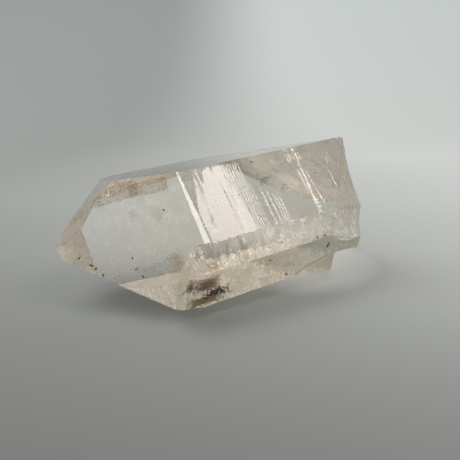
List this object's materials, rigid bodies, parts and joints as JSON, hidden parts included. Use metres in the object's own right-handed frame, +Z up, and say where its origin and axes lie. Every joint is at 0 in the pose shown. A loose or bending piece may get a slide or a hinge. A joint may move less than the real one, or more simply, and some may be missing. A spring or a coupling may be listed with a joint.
{
  "type": "quartz crystal",
  "caption": "Clear smoky quartz point lying on its side, with a parallel second crystal along its front edge and a broken root.",
  "frame": {"origin": "on the ground, under the middle of the bounding box", "axes": "+X along the crystal from the tip to the broken root, +Y away from the front, +Z up as it rests"},
  "size_m": [0.0682, 0.0384, 0.0313],
  "materials": {
    "clear_quartz": "see-through, slightly smoky, with natural glossy faces"
  },
  "bodies": {
    "root": {"quartz_crystal": "clear_quartz"}
  },
  "joints": []
}
